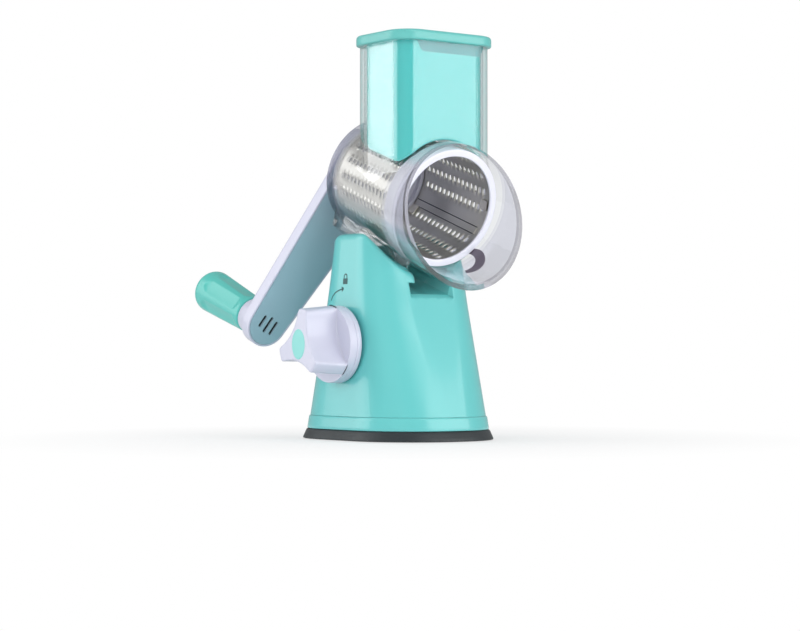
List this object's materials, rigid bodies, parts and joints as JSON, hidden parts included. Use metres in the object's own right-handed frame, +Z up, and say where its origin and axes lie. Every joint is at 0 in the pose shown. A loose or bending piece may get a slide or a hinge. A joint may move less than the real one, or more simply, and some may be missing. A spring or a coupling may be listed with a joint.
{
  "type": "rotary cabbage shredder",
  "caption": "Hand-cranked rotary shredder: suction base with lock knob, clear barrel with feed chute and flared mouth, perforated steel drum, crank and pusher.",
  "frame": {"origin": "centre of the foot, on the surface it stands on", "axes": "+Z up; the mouth faces -Y, the crank is behind the barrel at +Y, the lock knob is on the -X side"},
  "size_m": [0.1193, 0.2044, 0.24],
  "materials": {
    "mint": "moulded, high gloss",
    "lilac": "moulded, smooth",
    "blue_grey": "moulded, satin",
    "grey": "moulded, smooth",
    "inner_plastic": "moulded, plain",
    "clear": "clear moulded plastic, polished",
    "rubber": "soft, satin",
    "drum_steel": "thin sheet, bright",
    "steel": "zinc bright"
  },
  "bodies": {
    "base": {"base_housing": "mint", "base_ring": "mint", "base_plate": "inner_plastic", "base_screws": "steel", "suction_pad": "rubber", "knob_bush": "inner_plastic", "clear_housing": "clear", "rear_bush": "lilac", "guard_lug": "grey"},
    "pusher": {"pusher_body": "mint", "pusher_cap": "mint"},
    "crank": {"crank_shaft": "lilac", "crank_arm": "lilac", "crank_cover": "blue_grey", "hub_screw": "steel", "grip_collar": "lilac", "grip_spindle": "steel", "spindle_nut": "steel"},
    "grip": {"grip": "mint", "grip_cap": "mint"},
    "drum": {"drum_shell": "drum_steel", "drum_front_ring": "lilac", "drum_rear_cap": "lilac", "drum_tabs": "steel"},
    "knob": {"lock_knob": "lilac", "knob_cap": "mint", "knob_screw": "steel", "cam_shaft": "steel", "lift_cam": "inner_plastic", "shaft_clip": "steel"},
    "lifter": {"lift_rod": "inner_plastic", "pad_stud": "steel", "pad_boss": "rubber"}
  },
  "joints": [
    {"name": "crank_turn", "type": "hinge", "parent": "base", "child": "crank", "pos_m": [0, 0, 0.1537], "axis": [0, -0.9455, -0.3256], "continuous": true},
    {"name": "grip_spin", "type": "hinge", "parent": "crank", "child": "grip", "pos_m": [-0.05328, 0.06997, 0.0718], "axis": [0, -0.9455, -0.3256], "continuous": true},
    {"name": "drum_pull", "type": "slide", "parent": "crank", "child": "drum", "axis": [0, -0.9455, -0.3256], "range_m": [0, 0.12]},
    {"name": "pusher_slide", "type": "slide", "parent": "base", "child": "pusher", "axis": [0, 0, 1], "range_m": [0, 0.085]},
    {"name": "knob_turn", "type": "hinge", "parent": "base", "child": "knob", "pos_m": [-0.05, 0, 0.0568], "axis": [1, 0, 0], "range_deg": [0, 90]},
    {"name": "pad_lift", "type": "slide", "parent": "base", "child": "lifter", "axis": [0, 0, 1], "range_m": [0, 0.004]}
  ],
  "couplings": [
    {"joint": "pad_lift", "follows": "knob_turn", "m_per_rad": 0.002546}
  ]
}
